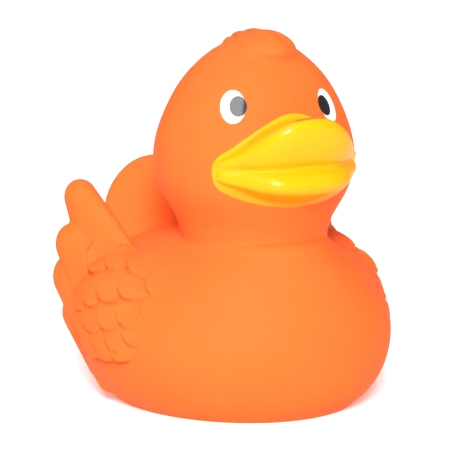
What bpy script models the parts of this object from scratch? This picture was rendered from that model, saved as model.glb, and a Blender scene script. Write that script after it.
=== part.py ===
"""Rubber duck: one hollow soft-vinyl moulding with a press-in squeaker in its base.

The duck faces -Y and stands on Z = 0. X = 0 is its mirror plane.
Lengths below are in millimetres and are turned into metres by MM.
"""

import math

import bmesh
import bpy
from mathutils import Matrix, Vector

MM = 0.001

# Driving dimensions
WALL = 2.4
HOLE_RADIUS = 7.0
FIT_GAP = 0.3
HEAD_AXIS_Y = -10.0
VOXEL = 0.9
OUTER_TRIANGLES = 7000
CAVITY_TRIANGLES = 1600

# Bill: its mouth corners lie this many degrees round the head, at this height and radius
BILL_CORNER = 54.0
CORNER_HEIGHT = 56.9
BILL_CORNER_RADIUS = 24.1
BILL_REACH = 5.5
BILL_SHOULDER = 31.0
BILL_SINK = 3.0
BILL_STEPS = 10

# Elliptic rings, bottom to top: height, half width, half length, centre Y
BODY_RINGS = (
    (-2.0, 25.0, 30.4, 0.0),
    (0.6, 27.4, 32.6, 0.0),
    (2.8, 30.4, 35.2, -0.3),
    (7.0, 33.9, 38.1, -0.6),
    (14.0, 36.3, 39.5, -0.6),
    (21.0, 35.7, 38.9, -0.6),
    (28.0, 31.6, 35.8, 0.0),
    (32.5, 26.8, 33.0, -0.6),
    (35.4, 22.2, 29.4, -2.4),
    (37.4, 17.8, 24.4, -6.0),
    (39.6, 15.0, 18.0, -12.0),
    (40.6, 8.0, 10.0, -14.0),
)
HEAD_RINGS = (
    (32.0, 16.6, 16.6, HEAD_AXIS_Y),
    (41.6, 16.6, 16.8, HEAD_AXIS_Y),
    (46.0, 19.5, 19.8, HEAD_AXIS_Y),
    (51.0, 22.4, 22.4, HEAD_AXIS_Y),
    (57.0, 23.5, 23.2, HEAD_AXIS_Y),
    (63.0, 22.7, 21.0, HEAD_AXIS_Y),
    (69.0, 20.5, 17.8, HEAD_AXIS_Y),
    (74.6, 17.2, 15.2, HEAD_AXIS_Y),
    (79.0, 12.8, 11.4, HEAD_AXIS_Y),
    (82.2, 8.4, 7.6, HEAD_AXIS_Y),
    (83.4, 3.8, 3.4, HEAD_AXIS_Y),
)
TAIL_RINGS = (
    (14.0, 18.0, 9.0, 24.0),
    (24.0, 19.0, 8.0, 27.5),
    (32.0, 18.4, 6.8, 31.0),
    (39.0, 17.2, 5.7, 34.1),
    (45.0, 14.2, 4.5, 36.1),
    (49.6, 8.8, 3.1, 37.3),
    (51.0, 3.6, 1.9, 37.5),
)

# Flight feathers of one wing: root, tip, half width at root and tip, half thickness
FLIGHT_FEATHERS = (
    ((25.6, 5.0, 25.0), (31.0, 20.0, 49.2), 8.6, 4.3, 3.2),
    ((28.2, 4.0, 18.0), (33.6, 19.8, 38.8), 7.6, 5.0, 2.8),
    ((28.0, 4.0, 11.0), (33.4, 22.0, 31.0), 7.2, 5.4, 2.8),
    ((27.6, 3.0, 6.5), (32.0, 21.0, 22.0), 6.4, 4.8, 2.6),
    ((28.4, -1.0, 5.0), (31.0, 13.6, 13.8), 5.4, 4.2, 2.6),
)
# Rows of scales: first Y, first height, pitch along Y, fall per millimetre, count
SCALE_ROWS = (
    (-5.4, 34.0, 5.7, 0.18, 3),
    (-14.6, 31.6, 5.3, 0.28, 5),
    (-17.6, 26.6, 5.6, 0.26, 5),
    (-15.2, 21.4, 5.6, 0.24, 4),
    (-11.4, 17.2, 5.5, 0.14, 3),
)
SCALE_SIZE = (1.5, 4.3, 4.2)
SCALE_SINK = 0.5
SCALE_LEAN = 10.0
WING_PAD_SIZE = (9.6, 17.6, 14.8)
WING_PAD_PLACE = (26.6, 2.2, 19.8)
FEATHER_OUT = (-0.35, 0.15)
TUFT_SIZE = (8.6, 11.4, 5.4)
TUFT_PLACE = (0.6, -11.0, 81.2)
# Squeaker, standing in the base hole
SQUEAKER_BOTTOM = 0.3
SQUEAKER_TOP = 11.0
CUP_RADIUS = 4.9
CUP_FLOOR = 1.2
SOUND_HOLE_RADIUS = 1.5
REED_WIDTH = 4.0
REED_THICKNESS = 0.4
CAPSULE_STEPS = 14
CAPSULE_SIDES = 16


def clear_scene():
    for obj in list(bpy.data.objects):
        bpy.data.objects.remove(obj)


def collection(name):
    made = bpy.data.collections.new(name)
    bpy.context.scene.collection.children.link(made)
    return made


def add_object(name, mesh, home):
    obj = bpy.data.objects.new(name, mesh)
    home.objects.link(obj)
    return obj


def lofted_mesh(name, rings):
    """A closed mesh through rings of points, all of one length, with both ends capped."""
    bm = bmesh.new()
    loops = [[bm.verts.new(point) for point in ring] for ring in rings]
    count = len(loops[0])
    for below, above in zip(loops, loops[1:]):
        for i in range(count):
            j = (i + 1) % count
            bm.faces.new((below[i], below[j], above[j], above[i]))
    bm.faces.new(loops[0][::-1])
    bm.faces.new(loops[-1])
    bmesh.ops.recalc_face_normals(bm, faces=bm.faces)
    mesh = bpy.data.meshes.new(name)
    bm.to_mesh(mesh)
    bm.free()
    return mesh


def elliptic_ring(height, half_width, half_length, centre_y, sides=20):
    ring = []
    for i in range(sides):
        angle = 2 * math.pi * i / sides
        x = half_width * math.cos(angle)
        y = centre_y + half_length * math.sin(angle)
        ring.append(Vector((x, y, height)) * MM)
    return ring


def inset_rings(rings, wall):
    """The same rings drawn in by a wall, for the hollow inside."""
    low = rings[0][0] + 2 * wall
    high = rings[-1][0] - wall
    drawn_in = []
    for height, half_width, half_length, centre_y in rings:
        width = max(half_width - wall, 1.0)
        length = max(half_length - wall, 1.0)
        drawn_in.append((min(max(height, low), high), width, length, centre_y))
    return drawn_in


def ringed(name, rings, home):
    mesh = lofted_mesh(name, [elliptic_ring(*ring) for ring in rings])
    return add_object(name, mesh, home)


def ball(name, home, size, place, out=(1.0, 0.0, 0.0)):
    """An ellipsoid with the given half sizes, its first axis turned to face out."""
    bm = bmesh.new()
    bmesh.ops.create_uvsphere(bm, u_segments=20, v_segments=12, radius=1.0)
    turn = Vector(out).to_track_quat("X", "Z")
    bm.transform(Matrix.LocRotScale(Vector(place) * MM, turn, Vector(size) * MM))
    mesh = bpy.data.meshes.new(name)
    bm.to_mesh(mesh)
    bm.free()
    return add_object(name, mesh, home)


def bill_section(angle):
    """The bill cut by an upright plane through the head's axis, at this angle from straight ahead."""
    turned = abs(angle)
    level = max(0.0, math.cos(math.radians(turned * 90 / BILL_CORNER)))
    crest, root = level ** 2.2, level ** 1.2
    reach = math.exp(-((turned / BILL_SHOULDER) ** 3.6))
    rim_radius = BILL_CORNER_RADIUS + BILL_REACH * reach
    rim_height = CORNER_HEIGHT + 2.0 + 11.0 * crest
    root_height = CORNER_HEIGHT + 1.9 + 8.8 * root
    mouth_height = CORNER_HEIGHT + 0.4 * crest
    groove = 0.5 + 2.6 * root + 1.2 * crest
    lip_drop = 2.1 + 4.5 * root
    rise = rim_height - mouth_height
    profile = (
        (15.0, root_height),
        (20.0, root_height + 0.2),
        ((rim_radius + 20.0) / 2, (root_height + rim_height) / 2 - 1.1 * crest),
        (rim_radius - 1.8, rim_height),
        (rim_radius, rim_height - 0.2 * rise),
        (rim_radius - 0.25 * groove, mouth_height + 0.42 * rise),
        (rim_radius - 0.65 * groove, mouth_height + 0.14 * rise),
        (rim_radius - groove, mouth_height + 0.2),
        (rim_radius - groove, mouth_height - 0.2),
        (rim_radius - 0.5 * groove, mouth_height - 0.16 * lip_drop),
        (rim_radius - 0.15 * groove, mouth_height - 0.5 * lip_drop),
        (rim_radius - 0.3 * groove, mouth_height - 0.85 * lip_drop),
        (rim_radius - groove, mouth_height - lip_drop),
        (20.0, mouth_height - lip_drop - 1.9),
        (15.0, mouth_height - lip_drop - 1.0),
    )
    ahead = math.radians(angle)
    sink = BILL_SINK if turned >= BILL_CORNER else 0.0
    ring = []
    for radius, height in profile:
        x = (radius - sink) * math.sin(ahead)
        y = HEAD_AXIS_Y - (radius - sink) * math.cos(ahead)
        ring.append(Vector((x, y, height)) * MM)
    return ring


def bill(home):
    steps = range(-BILL_STEPS, BILL_STEPS + 1)
    rings = [bill_section(step * BILL_CORNER / BILL_STEPS) for step in steps]
    return rounded(add_object("bill", lofted_mesh("bill", rings), home))


def ring_at(height):
    """The body's half width and half length at a height."""
    for low, high in zip(BODY_RINGS, BODY_RINGS[1:]):
        if low[0] <= height <= high[0]:
            share = (height - low[0]) / (high[0] - low[0])
            return [a + (b - a) * share for a, b in zip(low[1:3], high[1:3])]
    return BODY_RINGS[-1][1:3]


def flank(y, height):
    """How far the wing's skin stands from the mirror plane at a place on the flank."""
    half_width, half_length = ring_at(height)
    body = half_width * math.sqrt(max(0.0, 1 - (y / half_length) ** 2))
    return body + 0.6 + 0.05 * (y + 20.0) + 0.004 * max(0.0, y) ** 2


def capsule(name, home, root, tip, half_widths, half_thickness, outward):
    """A flat tapered finger with a round tip, running from root to tip with its flat side to outward."""
    start, end = Vector(root), Vector(tip)
    along = (end - start).normalized()
    flat = (Vector(outward) - along * along.dot(Vector(outward))).normalized()
    across = along.cross(flat)
    rings = []
    for step in range(CAPSULE_STEPS + 1):
        share = step / CAPSULE_STEPS
        swell = max(0.04, 1 - (2 * abs(share - 0.5)) ** 5) ** 0.5
        half_width = half_widths[0] + (half_widths[1] - half_widths[0]) * share
        centre = start.lerp(end, share)
        ring = []
        for i in range(CAPSULE_SIDES):
            turn = 2 * math.pi * i / CAPSULE_SIDES
            side = across * (half_width * swell * math.cos(turn))
            rise = flat * (half_thickness * swell * math.sin(turn))
            ring.append((centre + side + rise) * MM)
        rings.append(ring)
    return add_object(name, lofted_mesh(name, rings), home)


def facing(side, y, height, lean):
    """The way out of the wing's skin at a place, leaned forward so that a scale's rear edge stands up."""
    step = 0.5
    along_y = (flank(y + step, height) - flank(y - step, height)) / (2 * step)
    along_z = (flank(y, height + step) - flank(y, height - step)) / (2 * step)
    out = Vector((side, -along_y, -along_z)).normalized()
    return (out + Vector((0.0, -math.tan(math.radians(lean)), 0.0))).normalized()


def wing(side, home):
    """One wing: long flight feathers at the back and rows of round scales over their roots."""
    pad_place = (side * WING_PAD_PLACE[0], WING_PAD_PLACE[1], WING_PAD_PLACE[2])
    made = [ball("wing_pad", home, WING_PAD_SIZE, pad_place)]
    for base, point, root_width, tip_width, half_thickness in FLIGHT_FEATHERS:
        root = (side * base[0], base[1], base[2])
        tip = (side * point[0], point[1], point[2])
        widths = (root_width, tip_width)
        made.append(capsule("feather", home, root, tip, widths, half_thickness, (side, *FEATHER_OUT)))
    for first_y, first_height, pitch, fall, count in SCALE_ROWS:
        for i in range(count):
            y = first_y + pitch * i
            height = first_height - fall * pitch * i
            out = facing(side, y, height, SCALE_LEAN)
            place = Vector((side * flank(y, height), y, height)) - out * SCALE_SINK
            made.append(ball("scale", home, SCALE_SIZE, place, out))
    return made


def joined(name, objects, home):
    """The objects' meshes as one object's mesh, modifiers included."""
    graph = bpy.context.evaluated_depsgraph_get()
    bm = bmesh.new()
    for obj in objects:
        mesh = bpy.data.meshes.new_from_object(obj.evaluated_get(graph))
        bm.from_mesh(mesh)
        bpy.data.meshes.remove(mesh)
        bpy.data.objects.remove(obj)
    mesh = bpy.data.meshes.new(name)
    bm.to_mesh(mesh)
    bm.free()
    return add_object(name, mesh, home)


def box(name, low, high, home):
    bm = bmesh.new()
    bmesh.ops.create_cube(bm, size=1.0)
    size = Vector(high) - Vector(low)
    centre = (Vector(high) + Vector(low)) / 2
    bm.transform(Matrix.LocRotScale(centre * MM, None, size * MM))
    mesh = bpy.data.meshes.new(name)
    bm.to_mesh(mesh)
    bm.free()
    return add_object(name, mesh, home)


def cylinder(name, radius, low, high, home, sides=48):
    bm = bmesh.new()
    bmesh.ops.create_cone(
        bm, cap_ends=True, segments=sides, radius1=radius * MM, radius2=radius * MM, depth=(high - low) * MM
    )
    bmesh.ops.translate(bm, verts=bm.verts, vec=(0.0, 0.0, (high + low) / 2 * MM))
    mesh = bpy.data.meshes.new(name)
    bm.to_mesh(mesh)
    bm.free()
    return add_object(name, mesh, home)


def as_cutter(obj):
    obj.hide_render = True
    obj.display_type = "WIRE"


def cut(obj, cutter, operation="DIFFERENCE"):
    made = obj.modifiers.new(cutter.name, "BOOLEAN")
    made.operation = operation
    made.object = cutter
    made.solver = "EXACT"


def skinned(obj, voxel, rounds, triangles):
    """Fuses overlapping closed shapes into one skin, softens it and thins it to about this many triangles."""
    fuse = obj.modifiers.new("fuse", "REMESH")
    fuse.mode = "VOXEL"
    fuse.voxel_size = voxel * MM
    soften = obj.modifiers.new("soften", "SMOOTH")
    soften.factor = 0.5
    soften.iterations = rounds
    bpy.context.view_layer.update()
    faces = len(obj.evaluated_get(bpy.context.evaluated_depsgraph_get()).data.polygons)
    thin = obj.modifiers.new("thin", "DECIMATE")
    thin.ratio = min(1.0, triangles / (2.0 * faces))


def rounded(obj):
    smooth = obj.modifiers.new("round", "SUBSURF")
    smooth.levels = smooth.render_levels = 2
    return obj


def material(name, colour, roughness, metallic=0.0):
    made = bpy.data.materials.new(name)
    made.use_nodes = True
    shader = made.node_tree.nodes["Principled BSDF"]
    shader.inputs["Base Color"].default_value = (*colour, 1.0)
    shader.inputs["Roughness"].default_value = roughness
    shader.inputs["Metallic"].default_value = metallic
    return made


def finish(obj, made):
    obj.data.materials.clear()
    obj.data.materials.append(made)
    obj.data.shade_smooth()
    obj.data.set_sharp_from_angle(angle=math.radians(40))


def duck_body(home, cutters):
    shapes = [rounded(ringed("body", BODY_RINGS, home))]
    shapes.append(rounded(ringed("head", HEAD_RINGS, home)))
    shapes.append(rounded(ringed("tail", TAIL_RINGS, home)))
    shapes.append(bill(home))
    shapes.append(ball("tuft", home, TUFT_SIZE, TUFT_PLACE))
    shapes += wing(-1, home) + wing(1, home)
    duck = joined("duck_body", shapes, home)
    skinned(duck, VOXEL, 3, OUTER_TRIANGLES)

    inner = [rounded(ringed("body_hollow", inset_rings(BODY_RINGS, WALL), cutters))]
    inner.append(rounded(ringed("head_hollow", inset_rings(HEAD_RINGS, WALL), cutters)))
    hollow = joined("hollow", inner, cutters)
    skinned(hollow, 2 * VOXEL, 4, CAVITY_TRIANGLES)
    below = box("below_base", (-60, -60, -20), (60, 60, 0), cutters)
    hole = cylinder("base_hole", HOLE_RADIUS, -1.0, 2 * WALL + 4.0, cutters)
    for cutter in (below, hollow, hole):
        as_cutter(cutter)
        cut(duck, cutter)
    return duck


def turned(name, profile, home):
    """A turned piece from a closed outline of radius and height, run round Z by a Screw modifier."""
    bm = bmesh.new()
    points = [bm.verts.new((radius * MM, 0.0, height * MM)) for radius, height in profile]
    for first, second in zip(points, points[1:] + points[:1]):
        bm.edges.new((first, second))
    mesh = bpy.data.meshes.new(name)
    bm.to_mesh(mesh)
    bm.free()
    obj = add_object(name, mesh, home)
    screw = obj.modifiers.new("turn", "SCREW")
    screw.steps = screw.render_steps = 40
    screw.use_merge_vertices = True
    screw.merge_threshold = 0.00001
    screw.use_normal_flip = True
    return obj


def squeaker_housing(home):
    """A moulded cup pressed into the base hole, open inside the duck, with a sound hole below."""
    outer = HOLE_RADIUS - FIT_GAP
    profile = (
        (SOUND_HOLE_RADIUS, SQUEAKER_BOTTOM),
        (outer, SQUEAKER_BOTTOM),
        (outer, SQUEAKER_TOP),
        (CUP_RADIUS, SQUEAKER_TOP),
        (CUP_RADIUS, SQUEAKER_BOTTOM + CUP_FLOOR),
        (SOUND_HOLE_RADIUS, SQUEAKER_BOTTOM + CUP_FLOOR),
    )
    return turned("squeaker_housing", profile, home)


def squeaker_reed_seat(home, cutters):
    """The half-round block with an air channel that the reed lies over."""
    low = SQUEAKER_BOTTOM + CUP_FLOOR + FIT_GAP
    radius = CUP_RADIUS - FIT_GAP
    seat = cylinder("squeaker_reed_seat", radius, low, SQUEAKER_TOP - 0.4, home, sides=32)
    half = box("seat_half", (-20, -20, -5), (20, 0, 40), cutters)
    channel = box("seat_channel", (-1.0, -5, low + 1.2), (1.0, 1.6, 40), cutters)
    for cutter in (half, channel):
        as_cutter(cutter)
        cut(seat, cutter)
    return seat


def squeaker_reed(home):
    """The thin springy strip that sounds."""
    low = SQUEAKER_BOTTOM + CUP_FLOOR + 2 * FIT_GAP
    face = -FIT_GAP
    return box(
        "squeaker_reed",
        (-REED_WIDTH / 2, face - REED_THICKNESS, low),
        (REED_WIDTH / 2, face, SQUEAKER_TOP - 0.8),
        home,
    )


def main():
    clear_scene()
    home = collection("rubber_duck")
    cutters = collection("cutters")
    cutters.hide_render = True
    duck = duck_body(home, cutters)
    housing = squeaker_housing(home)
    seat = squeaker_reed_seat(home, cutters)
    reed = squeaker_reed(home)
    finish(duck, material("orange_vinyl", (1.0, 0.18, 0.04), 0.5))
    finish(housing, material("white_plastic", (0.8, 0.79, 0.75), 0.4))
    finish(seat, material("grey_plastic", (0.6, 0.6, 0.58), 0.4))
    finish(reed, material("reed_film", (0.75, 0.74, 0.7), 0.3))


main()
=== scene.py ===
"""The looks of a soft-vinyl bath duck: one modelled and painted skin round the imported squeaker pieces."""

import math

import bmesh
import bpy
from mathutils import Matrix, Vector


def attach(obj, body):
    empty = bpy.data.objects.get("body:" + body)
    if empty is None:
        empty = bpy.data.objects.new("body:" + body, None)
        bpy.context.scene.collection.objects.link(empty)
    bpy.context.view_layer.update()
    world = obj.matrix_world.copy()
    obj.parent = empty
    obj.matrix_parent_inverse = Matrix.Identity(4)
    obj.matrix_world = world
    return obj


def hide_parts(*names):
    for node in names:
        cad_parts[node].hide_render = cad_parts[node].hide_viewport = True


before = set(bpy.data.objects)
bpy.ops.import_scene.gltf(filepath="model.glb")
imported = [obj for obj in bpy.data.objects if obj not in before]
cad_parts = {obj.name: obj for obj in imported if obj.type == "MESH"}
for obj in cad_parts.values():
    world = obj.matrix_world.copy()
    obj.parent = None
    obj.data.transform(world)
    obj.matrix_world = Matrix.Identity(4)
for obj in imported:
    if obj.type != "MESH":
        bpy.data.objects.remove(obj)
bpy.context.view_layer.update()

# Lengths are in millimetres. The duck faces -Y, stands on Z = 0, and X = 0 is its mirror plane.
MM = 0.001
HEAD_AXIS_Y = -10.0
HOLE_RADIUS = 7.0

# Elliptic rings, bottom to top: height, half width, half length, centre Y
BODY_RINGS = (
    (-2.0, 25.0, 30.4, 0.0),
    (0.6, 27.6, 32.2, 0.0),
    (2.8, 30.6, 35.0, -0.3),
    (7.0, 33.8, 37.8, -0.5),
    (14.0, 36.2, 39.2, -0.5),
    (21.0, 35.6, 38.6, -0.5),
    (28.0, 31.6, 35.8, 0.0),
    (32.5, 26.8, 33.0, -0.6),
    (35.4, 22.2, 29.4, -2.4),
    (37.4, 17.8, 24.4, -6.0),
    (39.6, 15.0, 18.0, -12.0),
    (40.6, 8.0, 10.0, -14.0),
)
HEAD_RINGS = (
    (32.0, 16.6, 16.6, HEAD_AXIS_Y),
    (41.6, 16.6, 16.8, HEAD_AXIS_Y),
    (46.0, 19.5, 19.8, HEAD_AXIS_Y),
    (51.0, 22.4, 22.4, HEAD_AXIS_Y),
    (57.0, 23.5, 23.2, HEAD_AXIS_Y),
    (63.0, 22.7, 21.0, HEAD_AXIS_Y),
    (69.0, 20.5, 17.8, HEAD_AXIS_Y),
    (74.6, 17.2, 15.2, HEAD_AXIS_Y),
    (79.0, 12.8, 11.4, HEAD_AXIS_Y),
    (82.2, 8.4, 7.6, HEAD_AXIS_Y),
    (83.4, 3.8, 3.4, HEAD_AXIS_Y),
)
TAIL_RINGS = (
    (14.0, 18.0, 9.0, 24.0),
    (24.0, 19.0, 8.0, 27.5),
    (32.0, 18.4, 6.8, 31.0),
    (39.0, 17.0, 5.6, 34.0),
    (45.0, 14.0, 4.4, 36.0),
    (49.6, 8.6, 3.0, 37.2),
    (51.0, 3.4, 1.8, 37.4),
)

# Bill: its mouth corners lie this many degrees round the head, at this height and radius
BILL_CORNER = 54.0
CORNER_HEIGHT = 56.9
BILL_CORNER_RADIUS = 24.1
BILL_REACH = 4.8
BILL_SHOULDER = 31.0
BILL_SINK = 3.0
BILL_STEPS = 10

# Flight feathers of one wing: root, tip, half width at the root and at the tip, half thickness
FLIGHT_FEATHERS = (
    ((25.6, 5.0, 25.0), (31.0, 20.0, 49.2), 8.6, 4.3, 3.2),
    ((28.2, 4.0, 18.0), (33.6, 19.8, 38.8), 7.6, 5.0, 2.8),
    ((28.0, 4.0, 11.0), (33.4, 22.0, 31.0), 7.2, 5.4, 2.8),
    ((27.6, 3.0, 6.5), (32.0, 21.0, 22.0), 6.4, 4.8, 2.6),
    ((28.4, -1.0, 5.0), (31.0, 13.6, 13.8), 5.4, 4.2, 2.6),
)
# Beside straight out, the feathers' flat sides face this much along Y and upward
FEATHER_OUT = (-0.35, 0.15)
# Rows of scales: first Y, first height, pitch along Y, fall per millimetre, count
SCALE_ROWS = (
    (-5.4, 34.0, 5.7, 0.18, 3),
    (-14.6, 31.6, 5.3, 0.28, 5),
    (-17.6, 26.6, 5.6, 0.26, 5),
    (-15.2, 21.4, 5.6, 0.24, 4),
    (-11.4, 17.2, 5.5, 0.14, 3),
)
# One scale: radius, height of its rear edge, how far its slope starts ahead of its middle, and the
# share of the radius over which the edge falls; the groove beyond the edge, deep and as a share of the radius
SCALE_RADIUS = 4.3
SCALE_RISE = 1.6
SCALE_TUCK = 2.6
SCALE_EDGE = 0.11
SCALE_GROOVE = 0.5
SCALE_GROOVE_WIDTH = 0.16
# Degrees that the scales' rear edges point below the level
SCALE_DROOP = 54.0
# The scales fade into the breast between these two Y values and under the shoulder over this height,
# and none lie nearer the mirror plane, or higher, than these
SCALE_FADE = (-17.5, -11.0)
SCALE_TOP_FADE = 4.0
SCALES_FROM = 18.0
SCALES_BELOW = 39.0
# The pad under the scales: half sizes and place
PAD_SIZE = (9.4, 17.4, 14.6)
PAD_PLACE = (26.6, 2.2, 19.8)

# The tuft: a low mound, and locks combed forward over it
TUFT_SIZE = (7.8, 10.6, 4.6)
TUFT_PLACE = (0.6, -11.0, 81.2)
LOCK_WIDTH = 3.9
LOCK_DEPTH = 1.1
LOCK_SPREAD = 0.05

# Fusing the pieces into one skin
VOXEL = 0.45
SOFTENING_ROUNDS = 3
MOST_TRIANGLES = 196000
# The hollow of the back, and the top of each shoulder: lowest corner, highest corner, rounds
SOFT_PLACES = (
    ((-21.0, -1.0, 31.0), (21.0, 36.0, 48.0), 160),
    ((-31.0, -16.0, 31.0), (-17.0, 8.0, 43.0), 60),
    ((17.0, -16.0, 31.0), (31.0, 8.0, 43.0), 60),
)

# The bill's paint: how far its edges rise and drop from the mouth's corners, its height at the corners,
# where it ends round the head and the degrees over which it rounds off, its edge's softness and raggedness
PAINT_RISE = 9.7
PAINT_DROP = 6.6
PAINT_CORNER = 2.0
PAINT_END = 52.4
PAINT_ROUND = 5.0
PAINT_SOFT = 0.12
PAINT_RAGGED = 0.7

# Eyes, brushed on by hand and so not quite a mirrored pair: place, degrees round the head
EYES = (((-12.3, -22.9, 70.3), 42.0), ((10.4, -24.4, 69.3), 36.0))
EYE_LEAN = 33.0
EYE_SPLAY = 9.0
EYE_WHITE = (2.8, 3.9)
PUPIL = (1.95, 2.45)
PUPIL_SHIFT = 1.2

ORANGE_DEEP = (1.0, 0.118, 0.02, 1.0)
ORANGE_LIGHT = (1.0, 0.135, 0.026, 1.0)
YELLOW_DEEP = (1.0, 0.33, 0.003, 1.0)
YELLOW_LIGHT = (1.0, 0.37, 0.005, 1.0)
# Painted shade: a darker yellow for the bill's underside, where less light falls
YELLOW_SHADED_UNDERSIDE = (1.0, 0.27, 0.006, 1.0)
EYE_WHITE_COLOUR = (0.9, 0.88, 0.86, 1.0)
PUPIL_COLOUR = (0.004, 0.002, 0.002, 1.0)
HOUSING_COLOURS = ((0.72, 0.71, 0.68, 1.0), (0.82, 0.81, 0.78, 1.0))
SEAT_COLOURS = ((0.2, 0.2, 0.21, 1.0), (0.28, 0.28, 0.29, 1.0))
REED_COLOURS = ((0.55, 0.5, 0.4, 1.0), (0.7, 0.66, 0.55, 1.0))
FLOOR_COLOURS = ((0.9, 0.9, 0.9, 1.0), (0.93, 0.93, 0.93, 1.0))

# Studio, in metres and degrees; azimuth 0 is straight ahead of the duck
WORLD_LIGHT = 0.24
FLOOR_GLOW = 0.25
KEY_POWER = 2.2
KEY_SIZE = (0.46, 0.42)
KEY_COLOUR = (0.92, 0.96, 1.0)
LIT_PLACE = (0.0, 0.0, 0.04)
# Far lights: azimuth, elevation, width, power
FRONT_LIGHT = (-28.0, 30.0, 16.0, 4.9)
BACK_LIGHT = (160.0, 45.0, 60.0, 0.6)
CAMERA_TARGET = (-0.00162, 0.00086, 0.0394)
CAMERA_LENS = 243.6


# ---------------------------------------------------------------- modelling

def deselect():
    bpy.ops.object.select_all(action="DESELECT")


def started(name):
    """The primitive just added, named, with its place put into its mesh."""
    obj = bpy.context.object
    obj.name = name
    bpy.ops.object.transform_apply(location=True, rotation=True, scale=True)
    return obj


def apply_modifier(obj, kind, **settings):
    bpy.context.view_layer.objects.active = obj
    made = obj.modifiers.new(kind.lower(), kind)
    for setting, value in settings.items():
        setattr(made, setting, value)
    bpy.ops.object.modifier_apply(modifier=made.name)


def close_up(obj, levels):
    """Ends the edit with faces out, and rounds the cage."""
    bpy.ops.mesh.select_all(action="SELECT")
    bpy.ops.mesh.normals_make_consistent(inside=False)
    bpy.ops.object.mode_set(mode="OBJECT")
    apply_modifier(obj, "SUBSURF", levels=levels, render_levels=levels)
    return obj


def raised_form(name, rings, sides=24):
    """A closed round form: a disc extruded upward ring by ring, each ring resized and shifted."""
    deselect()
    height, half_width, half_length, centre_y = rings[0]
    bpy.ops.mesh.primitive_circle_add(
        vertices=sides, radius=MM, fill_type="NGON", location=(0, centre_y * MM, height * MM)
    )
    obj = started(name)
    bpy.ops.object.mode_set(mode="EDIT")
    bpy.ops.mesh.select_all(action="SELECT")
    middle = (0, centre_y * MM, height * MM)
    bpy.ops.transform.resize(value=(half_width, half_length, 1), center_override=middle)
    for below, above in zip(rings, rings[1:]):
        middle = (0, above[3] * MM, above[0] * MM)
        lift = (0, (above[3] - below[3]) * MM, (above[0] - below[0]) * MM)
        bpy.ops.mesh.extrude_region_move(TRANSFORM_OT_translate={"value": lift})
        grown = (above[1] / below[1], above[2] / below[2], 1)
        bpy.ops.transform.resize(value=grown, center_override=middle)
    return close_up(obj, 2)


def select_only(edit, chosen):
    for vertex in edit.verts:
        vertex.select = False
    edit.select_flush(False)
    chosen.select = True


def carry_ring(obj, before, after):
    """Moves each corner of the ring that lies on `before` to its place in `after`."""
    edit = bmesh.from_edit_mesh(obj.data)
    ring = [vertex for vertex in edit.verts if vertex.select]
    for vertex in ring:
        track = min(range(len(before)), key=lambda k: (before[k] - vertex.co).length)
        select_only(edit, vertex)
        bpy.ops.transform.translate(value=after[track] - vertex.co)
    for vertex in ring:
        vertex.select = True
    edit.select_flush(True)
    bmesh.update_edit_mesh(obj.data)


def lofted(name, rings):
    """A form through unlike rings: each is extruded from the last and its corners carried to their places."""
    deselect()
    corners = len(rings[0])
    bpy.ops.mesh.primitive_circle_add(vertices=corners, radius=MM, fill_type="NGON")
    obj = started(name)
    disc = [vertex.co.copy() for vertex in obj.data.vertices]
    bpy.ops.object.mode_set(mode="EDIT")
    bpy.ops.mesh.select_all(action="SELECT")
    carry_ring(obj, disc, rings[0])
    for below, above in zip(rings, rings[1:]):
        bpy.ops.mesh.extrude_region_move()
        carry_ring(obj, below, above)
    return close_up(obj, 2)


def pebble(name, size, place, out):
    """A flattened ball with its first axis turned to face out."""
    deselect()
    bpy.ops.mesh.primitive_uv_sphere_add(segments=28, ring_count=18, radius=MM)
    obj = bpy.context.object
    obj.scale = size
    obj.rotation_mode = "QUATERNION"
    obj.rotation_quaternion = out.to_track_quat("X", "Z")
    obj.location = place * MM
    return started(name)


def finger(name, tail_end, tip, half_width, tip_half_width, half_thickness, out):
    """A flat tapered finger with round ends, its flat side facing out."""
    deselect()
    start, end = Vector(tail_end), Vector(tip)
    along = (end - start).normalized()
    flat = (out - along * along.dot(out)).normalized()
    across = flat.cross(along)
    straight = (end - start).length - half_width - tip_half_width
    bpy.ops.mesh.primitive_uv_sphere_add(segments=32, ring_count=24, radius=half_width * MM)
    obj = bpy.context.object
    bpy.ops.object.mode_set(mode="EDIT")
    edit = bmesh.from_edit_mesh(obj.data)
    for vertex in edit.verts:
        vertex.select = vertex.co.z > MM * 0.01
    edit.select_flush(True)
    bmesh.update_edit_mesh(obj.data)
    bpy.ops.transform.translate(value=(0, 0, straight * MM))
    taper = tip_half_width / half_width
    bpy.ops.transform.resize(value=(taper, 1, taper), center_override=(0, 0, straight * MM))
    bpy.ops.mesh.select_all(action="SELECT")
    bpy.ops.transform.resize(value=(1, half_thickness / half_width, 1), center_override=(0, 0, 0))
    bpy.ops.object.mode_set(mode="OBJECT")
    turn = obj.matrix_world.copy()
    for column, axis in enumerate((across, flat, along)):
        for row in range(3):
            turn[row][column] = axis[row]
    turn.translation = (start + along * half_width) * MM
    obj.matrix_world = turn
    return started(name)


def fused(name, pieces, voxel, rounds):
    """Overlapping closed shapes made one skin and softened."""
    deselect()
    for piece in pieces:
        piece.select_set(True)
    bpy.context.view_layer.objects.active = pieces[0]
    bpy.ops.object.join()
    obj = bpy.context.object
    obj.name = name
    apply_modifier(obj, "REMESH", mode="VOXEL", voxel_size=voxel * MM)
    apply_modifier(obj, "SMOOTH", factor=0.5, iterations=rounds)
    return obj


# ---------------------------------------------------------------- the duck's pieces

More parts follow.
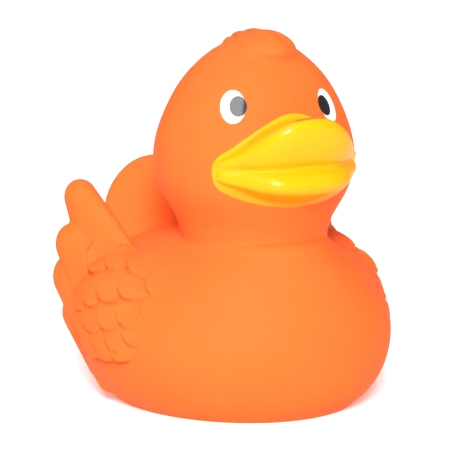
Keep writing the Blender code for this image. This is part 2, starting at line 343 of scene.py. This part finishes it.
def bill_section(angle):
    """The bill cut by an upright plane through the head's axis, at this angle from straight ahead."""
    turned = abs(angle)
    # Every height and depth falls from its full value straight ahead to nothing at the mouth's corner
    level = max(0.0, math.cos(math.radians(turned * 90 / BILL_CORNER)))
    crest, root = level ** 2.2, level ** 1.2
    reach = math.exp(-((turned / BILL_SHOULDER) ** 3.6))
    rim_radius = BILL_CORNER_RADIUS + BILL_REACH * reach
    rim_height = CORNER_HEIGHT + 2.0 + 11.0 * crest
    root_height = CORNER_HEIGHT + 1.9 + 8.8 * root
    mouth_height = CORNER_HEIGHT + 0.4 * crest
    groove = 0.5 + 2.6 * root + 1.2 * crest
    lip_drop = 2.1 + 4.5 * root
    rise = rim_height - mouth_height
    # Radius and height: root, upper face, rim, down into the mouth's groove, lower lip, root again
    profile = (
        (15.0, root_height),
        (20.0, root_height + 0.2),
        ((rim_radius + 20.0) / 2, (root_height + rim_height) / 2 - 1.1 * crest),
        (rim_radius - 1.8, rim_height),
        (rim_radius, rim_height - 0.2 * rise),
        (rim_radius - 0.25 * groove, mouth_height + 0.42 * rise),
        (rim_radius - 0.65 * groove, mouth_height + 0.14 * rise),
        (rim_radius - groove, mouth_height + 0.2),
        (rim_radius - groove, mouth_height - 0.2),
        (rim_radius - 0.5 * groove, mouth_height - 0.16 * lip_drop),
        (rim_radius - 0.15 * groove, mouth_height - 0.5 * lip_drop),
        (rim_radius - 0.3 * groove, mouth_height - 0.85 * lip_drop),
        (rim_radius - groove, mouth_height - lip_drop),
        (20.0, mouth_height - lip_drop - 1.9),
        (15.0, mouth_height - lip_drop - 1.0),
    )
    ahead = math.radians(angle)
    sink = BILL_SINK if turned >= BILL_CORNER else 0.0
    ring = []
    for radius, height in profile:
        x = (radius - sink) * math.sin(ahead)
        y = HEAD_AXIS_Y - (radius - sink) * math.cos(ahead)
        ring.append(Vector((x, y, height)) * MM)
    return ring


def bill():
    steps = range(-BILL_STEPS, BILL_STEPS + 1)
    return lofted("bill", [bill_section(step * BILL_CORNER / BILL_STEPS) for step in steps])


def ring_at(height):
    """The body's half width and half length at a height."""
    for low, high in zip(BODY_RINGS, BODY_RINGS[1:]):
        if low[0] <= height <= high[0]:
            share = (height - low[0]) / (high[0] - low[0])
            return [a + (b - a) * share for a, b in zip(low[1:3], high[1:3])]
    return BODY_RINGS[-1][1:3]


def flank(y, height):
    """How far the wing's skin stands from the mirror plane at a place on the flank."""
    half_width, half_length = ring_at(height)
    body = half_width * math.sqrt(max(0.0, 1 - (y / half_length) ** 2))
    # The wing stands off the body more and more toward its rear
    return body + 0.6 + 0.05 * (y + 20.0) + 0.004 * max(0.0, y) ** 2


def wing(side):
    """One wing's long flight feathers and the pad that carries its scales."""
    out = Vector((side, *FEATHER_OUT))
    pad_place = Vector((side * PAD_PLACE[0], PAD_PLACE[1], PAD_PLACE[2]))
    made = [pebble("wing_pad", PAD_SIZE, pad_place, Vector((1, 0, 0)))]
    for tail_end, tip, half_width, tip_half_width, half_thickness in FLIGHT_FEATHERS:
        root = (side * tail_end[0], tail_end[1], tail_end[2])
        point = (side * tip[0], tip[1], tip[2])
        made.append(finger("feather", root, point, half_width, tip_half_width, half_thickness, out))
    return made


def scale_frames(skin, side):
    """For each scale of one wing: its centre on the skin, the way out, and the way down its rear edge."""
    drooped = math.radians(SCALE_DROOP)
    rear = Vector((0.0, math.cos(drooped), -math.sin(drooped)))
    frames = []
    for first_y, first_height, pitch, fall, count in SCALE_ROWS:
        for i in range(count):
            y = first_y + pitch * i
            height = first_height - fall * pitch * i
            beside = Vector((side * flank(y, height), y, height)) * MM
            spot, out = skin.closest_point_on_mesh(beside)[1:3]
            along = (rear - out * rear.dot(out)).normalized()
            frames.append((spot / MM, out, along, out.cross(along)))
    return frames


def raise_scales(skin):
    """Lifts overlapping round scales out of the flanks, each highest at its rear edge."""
    frames = scale_frames(skin, -1.0) + scale_frames(skin, 1.0)
    lifts = {}
    for vertex in skin.data.vertices:
        place = vertex.co / MM
        if abs(place.x) < SCALES_FROM or place.z > SCALES_BELOW:
            continue
        fade = (place.y - SCALE_FADE[0]) / (SCALE_FADE[1] - SCALE_FADE[0])
        fade = min(1.0, max(0.0, fade), max(0.0, (SCALES_BELOW - place.z) / SCALE_TOP_FADE))
        lift, rims = 0.0, []
        for spot, out, along, across in frames:
            away = place - spot
            if away.length > 1.3 * SCALE_RADIUS or vertex.normal.dot(out) < 0.2:
                continue
            rho = math.hypot(away.dot(along), away.dot(across)) / SCALE_RADIUS
            lean = max(0.0, (away.dot(along) + SCALE_TUCK) / (SCALE_RADIUS + SCALE_TUCK))
            if rho < 1.0:
                edge = min(1.0, (1.0 - rho) / SCALE_EDGE)
                lift = max(lift, SCALE_RISE * lean * edge * edge * (3.0 - 2.0 * edge))
            elif rho < 1.0 + SCALE_GROOVE_WIDTH:
                rims.append((SCALE_RISE * lean, 1.0 - (rho - 1.0) / SCALE_GROOVE_WIDTH))
        depth = max([near for height, near in rims if height > lift + 0.2], default=0.0)
        if lift > 0.0 or depth > 0.0:
            lifts[vertex.index] = vertex.normal * ((lift - SCALE_GROOVE * depth) * fade * MM)
    for index, lift in lifts.items():
        skin.data.vertices[index].co += lift


def comb_tuft(skin):
    """Combs the mound on the crown into locks that spread a little toward the front."""
    for vertex in skin.data.vertices:
        x, y, z = vertex.co / MM
        reach = math.hypot((x - TUFT_PLACE[0]) / TUFT_SIZE[0], (y - TUFT_PLACE[1]) / TUFT_SIZE[1])
        if reach >= 1.0 or z < TUFT_PLACE[2] - 1.0:
            continue
        spread = 1.0 + LOCK_SPREAD * (TUFT_PLACE[1] - y)
        lock = (x - TUFT_PLACE[0]) / (LOCK_WIDTH * spread)
        valley = 1.0 - abs(math.cos(math.pi * lock)) ** 0.7
        fade = min(1.0, (1.0 - reach) / 0.25)
        vertex.co -= vertex.normal * (LOCK_DEPTH * valley * fade * MM)


def soften(skin, low, high, rounds):
    """Rounds the skin inside a box, less and less toward the box's sides."""
    low, high = Vector(low) * MM, Vector(high) * MM
    middle, half = (low + high) / 2, (high - low) / 2
    region = skin.vertex_groups.new(name="softened")
    for vertex in skin.data.vertices:
        away = vertex.co - middle
        reach = max(abs(away[axis]) / half[axis] for axis in range(3))
        if reach < 1.0:
            region.add([vertex.index], min(1.0, 4.0 * (1.0 - reach)), "REPLACE")
    apply_modifier(skin, "SMOOTH", factor=0.5, iterations=rounds, vertex_group=region.name)
    skin.vertex_groups.clear()


def duck_skin():
    """The whole moulded skin; its base and the squeaker's opening underneath are cut afterwards."""
    pieces = [
        raised_form("body", BODY_RINGS),
        raised_form("head", HEAD_RINGS),
        raised_form("tail", TAIL_RINGS),
        bill(),
    ]
    pieces += wing(-1.0) + wing(1.0)
    pieces.append(pebble("tuft", TUFT_SIZE, Vector(TUFT_PLACE), Vector((1, 0, 0))))
    skin = fused("duck_skin", pieces, VOXEL, SOFTENING_ROUNDS)
    for low, high, rounds in SOFT_PLACES:
        soften(skin, low, high, rounds)
    raise_scales(skin)
    comb_tuft(skin)
    return skin


# ---------------------------------------------------------------- materials

class Nodes:
    """Short hands for building a node tree."""

    def __init__(self, tree):
        self.tree = tree

    def add(self, kind, **values):
        made = self.tree.nodes.new(kind)
        for name, value in values.items():
            setattr(made, name, value)
        return made

    def link(self, source, target):
        self.tree.links.new(source, target)

    def put(self, socket, value):
        if hasattr(value, "is_output"):
            self.link(value, socket)
        else:
            socket.default_value = value

    def maths(self, operation, first, second=None, third=None):
        made = self.add("ShaderNodeMath", operation=operation)
        for socket, value in zip(made.inputs, (first, second, third)):
            if value is not None:
                self.put(socket, value)
        return made.outputs[0]

    def vector_maths(self, operation, first, second=None, out=0):
        made = self.add("ShaderNodeVectorMath", operation=operation)
        for socket, value in zip(made.inputs, (first, second)):
            if value is not None:
                self.put(socket, value)
        return made.outputs[out]

    def step(self, value, low, high, to_low=0.0, to_high=1.0):
        """A smooth passage from to_low to to_high while value goes from low to high."""
        made = self.add("ShaderNodeMapRange", interpolation_type="SMOOTHSTEP")
        for socket, given in zip(made.inputs, (value, low, high, to_low, to_high)):
            self.put(socket, given)
        return made.outputs[0]

    def noise(self, place, scale, detail=2.0, roughness=0.5):
        made = self.add("ShaderNodeTexNoise")
        self.link(place, made.inputs["Vector"])
        made.inputs["Scale"].default_value = scale
        made.inputs["Detail"].default_value = detail
        made.inputs["Roughness"].default_value = roughness
        return made.outputs["Fac"]

    def mix(self, share, first, second):
        made = self.add("ShaderNodeMix", data_type="RGBA")
        self.put(made.inputs["Factor"], share)
        for socket, value in zip(made.inputs[6:8], (first, second)):
            self.put(socket, value)
        return made.outputs[2]

    def blend(self, share, first, second):
        made = self.add("ShaderNodeMix", data_type="FLOAT")
        sockets = (made.inputs[0], made.inputs[2], made.inputs[3])
        for socket, value in zip(sockets, (share, first, second)):
            self.put(socket, value)
        return made.outputs[0]


def new_group(name, inputs, outputs):
    tree = bpy.data.node_groups.new(name, "ShaderNodeTree")
    for socket, kind, default in inputs:
        made = tree.interface.new_socket(socket, in_out="INPUT", socket_type=kind)
        if default is not None:
            made.default_value = default
    for socket, kind in outputs:
        tree.interface.new_socket(socket, in_out="OUTPUT", socket_type=kind)
    nodes = Nodes(tree)
    return nodes, nodes.add("NodeGroupInput").outputs, nodes.add("NodeGroupOutput").inputs


def moulded_skin_group():
    """Shared by every moulded piece: fine grain, slow unevenness in colour and gloss, and light scuffs."""
    nodes, given, result = new_group(
        "moulded_skin",
        (
            ("Place", "NodeSocketVector", None),
            ("Grain", "NodeSocketFloat", 2600.0),
            ("Cloud", "NodeSocketFloat", 45.0),
        ),
        (("Height", "NodeSocketFloat"), ("Cloud", "NodeSocketFloat"), ("Scuff", "NodeSocketFloat")),
    )
    place = given["Place"]
    grain = nodes.add("ShaderNodeTexNoise")
    nodes.link(place, grain.inputs["Vector"])
    nodes.link(given["Grain"], grain.inputs["Scale"])
    grain.inputs["Detail"].default_value = 3.0
    slow = nodes.add("ShaderNodeTexNoise")
    nodes.link(place, slow.inputs["Vector"])
    nodes.link(given["Cloud"], slow.inputs["Scale"])
    slow.inputs["Detail"].default_value = 2.0
    scuff = nodes.noise(place, 420.0, 4.0, 0.7)
    nodes.link(grain.outputs["Fac"], result["Height"])
    nodes.link(slow.outputs["Fac"], result["Cloud"])
    nodes.link(nodes.step(scuff, 0.62, 0.74), result["Scuff"])
    return nodes.tree


def new_material(name, group):
    """A Principled material with the moulded-skin group read on Object coordinates."""
    made = bpy.data.materials.new(name)
    made.use_nodes = True
    nodes = Nodes(made.node_tree)
    shader = made.node_tree.nodes["Principled BSDF"]
    place = nodes.add("ShaderNodeTexCoord").outputs["Object"]
    skin = nodes.add("ShaderNodeGroup", node_tree=group)
    nodes.link(place, skin.inputs["Place"])
    return made, nodes, shader, place, skin


def round_spot(nodes, place, centre, across, up, half_width, half_height, soft):
    """Paint inside an ellipse lying on the skin about the given centre."""
    offset = nodes.vector_maths("SUBTRACT", place, tuple(v * MM for v in centre))
    sideways = nodes.vector_maths("DOT_PRODUCT", offset, across, out=1)
    upward = nodes.vector_maths("DOT_PRODUCT", offset, up, out=1)
    wide = nodes.maths("POWER", nodes.maths("DIVIDE", sideways, half_width * MM), 2.0)
    tall = nodes.maths("POWER", nodes.maths("DIVIDE", upward, half_height * MM), 2.0)
    distance = nodes.maths("SQRT", nodes.maths("ADD", wide, tall))
    return nodes.step(distance, 1.0 - soft, 1.0 + soft, 1.0, 0.0)


def splayed(across, up, angle):
    """Turns a pair of directions in their own plane, the upper one outward."""
    turn = math.radians(angle)
    return across * math.cos(turn) - up * math.sin(turn), up * math.cos(turn) + across * math.sin(turn)


def painted_vinyl(group):
    """Matte orange vinyl with sprayed bill and eye paint."""
    made, nodes, shader, place, skin = new_material("painted_vinyl", group)
    parts = nodes.add("ShaderNodeSeparateXYZ")
    nodes.link(place, parts.inputs[0])
    side_x = nodes.maths("ABSOLUTE", parts.outputs["X"])
    ahead = nodes.maths("SUBTRACT", HEAD_AXIS_Y * MM, parts.outputs["Y"])
    angle = nodes.maths("ARCTAN2", side_x, ahead)

    # The bill's paint: an upper and a lower edge that fall together toward the mouth's corners
    ragged = nodes.noise(place, 190.0, 3.0, 0.6)
    ragged = nodes.maths("MULTIPLY", nodes.maths("SUBTRACT", ragged, 0.5), PAINT_RAGGED * MM)
    turn = nodes.maths("MULTIPLY", angle, 90.0 / BILL_CORNER)
    level = nodes.maths("MAXIMUM", nodes.maths("COSINE", turn), 0.0)
    high = nodes.maths("POWER", level, 1.2)
    low = nodes.maths("POWER", level, 0.5)
    # From 0 to 1 over the last degrees, where the paint rounds off as a quarter circle
    past = nodes.maths("MULTIPLY_ADD", angle, 1 / math.radians(PAINT_ROUND), 1 - PAINT_END / PAINT_ROUND)
    past = nodes.maths("MINIMUM", nodes.maths("MAXIMUM", past, 0.0), 1.0)
    swell = nodes.maths("SQRT", nodes.maths("SUBTRACT", 1.0, nodes.maths("MULTIPLY", past, past)))
    end_height = nodes.maths("MULTIPLY", swell, PAINT_CORNER * MM)
    top = nodes.maths("MULTIPLY_ADD", high, PAINT_RISE * MM, CORNER_HEIGHT * MM)
    top = nodes.maths("ADD", top, end_height)
    bottom = nodes.maths("MULTIPLY_ADD", low, -PAINT_DROP * MM, CORNER_HEIGHT * MM)
    bottom = nodes.maths("SUBTRACT", bottom, end_height)
    height = nodes.maths("ADD", parts.outputs["Z"], ragged)
    below_top = nodes.step(nodes.maths("SUBTRACT", top, height), -PAINT_SOFT * MM, PAINT_SOFT * MM)
    clear = nodes.maths("SUBTRACT", height, bottom)
    above_bottom = nodes.step(clear, -PAINT_SOFT * MM, PAINT_SOFT * MM)
    within = nodes.step(angle, math.radians(PAINT_END - 0.6), math.radians(PAINT_END + 0.6), 1.0, 0.0)
    bill_mask = nodes.maths("MULTIPLY", nodes.maths("MULTIPLY", below_top, above_bottom), within)

    whites, pupils = [], []
    for (x, y, z), turn in EYES:
        side = math.copysign(1.0, x)
        turned, leaned = math.radians(turn), math.radians(EYE_LEAN)
        across = Vector((side * math.cos(turned), math.sin(turned), 0.0))
        inward = Vector((-side * math.sin(turned), math.cos(turned), 0.0))
        up = inward * math.sin(leaned) + Vector((0.0, 0.0, math.cos(leaned)))
        across, up = splayed(across, up, EYE_SPLAY)
        centre = Vector((x, y, z))
        whites.append(round_spot(nodes, place, centre, across, up, *EYE_WHITE, 0.05))
        pupils.append(round_spot(nodes, place, centre - across * PUPIL_SHIFT, across, up, *PUPIL, 0.06))
    facing_ahead = nodes.step(ahead, 4.0 * MM, 6.0 * MM)
    white_mask = nodes.maths("MULTIPLY", nodes.maths("MAXIMUM", *whites), facing_ahead)
    pupil_mask = nodes.maths("MULTIPLY", nodes.maths("MAXIMUM", *pupils), facing_ahead)

    cloud = skin.outputs["Cloud"]
    orange = nodes.mix(cloud, ORANGE_DEEP, ORANGE_LIGHT)
    yellow = nodes.mix(cloud, YELLOW_DEEP, YELLOW_LIGHT)
    # Painted shade: below 51 mm the bill's yellow darkens to the shaded underside colour, and it is back to
    # the lit yellow by 55 mm
    underside_shade = nodes.step(parts.outputs["Z"], 51.0 * MM, 55.0 * MM)
    yellow = nodes.mix(underside_shade, YELLOW_SHADED_UNDERSIDE, yellow)
    colour = nodes.mix(bill_mask, orange, yellow)
    colour = nodes.mix(white_mask, colour, EYE_WHITE_COLOUR)
    colour = nodes.mix(pupil_mask, colour, PUPIL_COLOUR)
    nodes.link(colour, shader.inputs["Base Color"])

    matte = nodes.step(cloud, 0.3, 0.7, 0.56, 0.66)
    rough = nodes.blend(bill_mask, matte, nodes.step(cloud, 0.3, 0.7, 0.3, 0.38))
    rough = nodes.blend(white_mask, rough, 0.3)
    rough = nodes.blend(pupil_mask, rough, 0.06)
    nodes.link(rough, shader.inputs["Roughness"])
    bill_gloss = nodes.maths("MULTIPLY", bill_mask, 0.1)
    gloss = nodes.maths("MAXIMUM", bill_gloss, nodes.maths("MULTIPLY", pupil_mask, 0.9))
    nodes.link(gloss, shader.inputs["Coat Weight"])
    shader.inputs["Coat Roughness"].default_value = 0.12
    shader.inputs["Coat IOR"].default_value = 1.9
    shader.inputs["Specular IOR Level"].default_value = 0.05

    bump = nodes.add("ShaderNodeBump")
    bump.inputs["Strength"].default_value = 0.35
    bump.inputs["Distance"].default_value = 0.06 * MM
    painted = nodes.maths("MAXIMUM", bill_mask, nodes.maths("MAXIMUM", white_mask, pupil_mask))
    film = nodes.maths("MULTIPLY", painted, 1.2)
    grain = nodes.maths("MULTIPLY", skin.outputs["Height"], nodes.step(painted, 0.0, 1.0, 1.0, 0.25))
    nodes.link(nodes.maths("ADD", grain, film), bump.inputs["Height"])
    nodes.link(bump.outputs[0], shader.inputs["Normal"])
    shader.inputs["Subsurface Weight"].default_value = 0.25
    shader.inputs["Subsurface Radius"].default_value = (0.004, 0.0012, 0.0004)
    shader.inputs["Subsurface Scale"].default_value = 1.0
    return made


def plain_plastic(name, group, colours, roughness, grain):
    """Moulded plastic for the squeaker's pieces."""
    made, nodes, shader, _, skin = new_material(name, group)
    skin.inputs["Grain"].default_value = grain
    skin.inputs["Cloud"].default_value = 160.0
    nodes.link(nodes.mix(skin.outputs["Cloud"], *colours), shader.inputs["Base Color"])
    rough = nodes.step(skin.outputs["Cloud"], 0.3, 0.7, *roughness)
    rough = nodes.maths("MULTIPLY_ADD", skin.outputs["Scuff"], 0.15, rough)
    nodes.link(rough, shader.inputs["Roughness"])
    bump = nodes.add("ShaderNodeBump")
    bump.inputs["Strength"].default_value = 0.25
    bump.inputs["Distance"].default_value = 0.04 * MM
    nodes.link(skin.outputs["Height"], bump.inputs["Height"])
    nodes.link(bump.outputs[0], shader.inputs["Normal"])
    return made


def give(obj, material):
    obj.data.materials.clear()
    obj.data.materials.append(material)


# ---------------------------------------------------------------- finishing the skin

def cut_base(skin):
    """Cuts the skin flat at the floor and sinks the squeaker's hole."""
    deselect()
    bpy.context.view_layer.objects.active = skin
    skin.select_set(True)
    bpy.ops.object.mode_set(mode="EDIT")
    bpy.ops.mesh.select_all(action="SELECT")
    bpy.ops.mesh.bisect(
        plane_co=(0, 0, 0), plane_no=(0, 0, 1), clear_inner=True, use_fill=True, threshold=1e-7
    )
    bpy.ops.object.mode_set(mode="OBJECT")
    deselect()
    bpy.ops.mesh.primitive_cylinder_add(vertices=96, radius=HOLE_RADIUS * MM, depth=24 * MM)
    well = started("well")
    apply_modifier(skin, "BOOLEAN", operation="DIFFERENCE", solver="EXACT", object=well)
    bpy.data.objects.remove(well)


def smooth(obj, angle):
    deselect()
    obj.select_set(True)
    bpy.context.view_layer.objects.active = obj
    bpy.ops.object.shade_smooth_by_angle(angle=math.radians(angle))


# ---------------------------------------------------------------- the duck

skin = duck_skin()
triangles = 2 * len(skin.data.polygons)
if triangles > MOST_TRIANGLES:
    apply_modifier(skin, "DECIMATE", ratio=MOST_TRIANGLES / triangles)
cut_base(skin)
smooth(skin, 60)

group = moulded_skin_group()
give(skin, painted_vinyl(group))
housing_look = plain_plastic("white_plastic", group, HOUSING_COLOURS, (0.35, 0.45), 2200.0)
seat_look = plain_plastic("grey_plastic", group, SEAT_COLOURS, (0.4, 0.5), 2600.0)
reed_look = plain_plastic("reed_film", group, REED_COLOURS, (0.12, 0.2), 3200.0)
give(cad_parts["squeaker_housing"], housing_look)
give(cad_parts["squeaker_reed_seat"], seat_look)
give(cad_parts["squeaker_reed"], reed_look)

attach(skin, "root")
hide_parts("duck_body")


# ---------------------------------------------------------------- studio

def softbox(name, place, target, size, power, colour):
    """A rectangular area light turned to the target."""
    light = bpy.data.lights.new(name, "AREA")
    light.shape = "RECTANGLE"
    light.size, light.size_y = size
    light.energy = power
    light.color = colour
    obj = bpy.data.objects.new(name, light)
    obj.location = place
    obj.rotation_euler = (Vector(target) - Vector(place)).to_track_quat("-Z", "Y").to_euler()
    bpy.context.scene.collection.objects.link(obj)


def around(azimuth, elevation, distance, target):
    """A place at this distance from the target; azimuth 0 is straight ahead of the duck."""
    a, e = math.radians(azimuth), math.radians(elevation)
    away = Vector((math.sin(a) * math.cos(e), -math.cos(a) * math.cos(e), math.sin(e)))
    return Vector(target) + away * distance


def far_light(name, azimuth, elevation, width, power):
    """An even light from far off, this many degrees wide."""
    light = bpy.data.lights.new(name, "SUN")
    light.energy = power
    light.angle = math.radians(width)
    obj = bpy.data.objects.new(name, light)
    inward = -around(azimuth, elevation, 1.0, (0, 0, 0))
    obj.rotation_euler = inward.to_track_quat("-Z", "Y").to_euler()
    bpy.context.scene.collection.objects.link(obj)


def floor_and_light():
    deselect()
    bpy.ops.mesh.primitive_plane_add(size=6.0)
    floor = bpy.context.object
    floor.name = "studio_floor"
    look = bpy.data.materials.new("studio_floor")
    look.use_nodes = True
    nodes = Nodes(look.node_tree)
    shader = look.node_tree.nodes["Principled BSDF"]
    place = nodes.add("ShaderNodeTexCoord").outputs["Object"]
    nodes.link(nodes.mix(nodes.noise(place, 3.0), *FLOOR_COLOURS), shader.inputs["Base Color"])
    shader.inputs["Roughness"].default_value = 0.9
    shader.inputs["Specular IOR Level"].default_value = 0.1
    shader.inputs["Emission Color"].default_value = (1, 1, 1, 1)
    shader.inputs["Emission Strength"].default_value = FLOOR_GLOW
    floor.data.materials.append(look)

    world = bpy.data.worlds.new("studio")
    bpy.context.scene.world = world
    world.use_nodes = True
    world.node_tree.nodes["Background"].inputs["Color"].default_value = (1, 1, 1, 1)
    world.node_tree.nodes["Background"].inputs["Strength"].default_value = WORLD_LIGHT
    softbox("key", around(-54, 54, 0.8, LIT_PLACE), LIT_PLACE, KEY_SIZE, KEY_POWER, KEY_COLOUR)
    far_light("front_light", *FRONT_LIGHT)
    far_light("back_light", *BACK_LIGHT)


def camera():
    data = bpy.data.cameras.new("camera")
    data.lens = CAMERA_LENS
    data.sensor_width = 36.0
    obj = bpy.data.objects.new("camera", data)
    target = Vector(CAMERA_TARGET)
    obj.location = around(-28, 10, 0.70, target)
    obj.rotation_euler = (target - obj.location).to_track_quat("-Z", "Y").to_euler()
    bpy.context.scene.collection.objects.link(obj)
    bpy.context.scene.camera = obj


floor_and_light()
camera()
bpy.context.scene.view_settings.view_transform = "Standard"
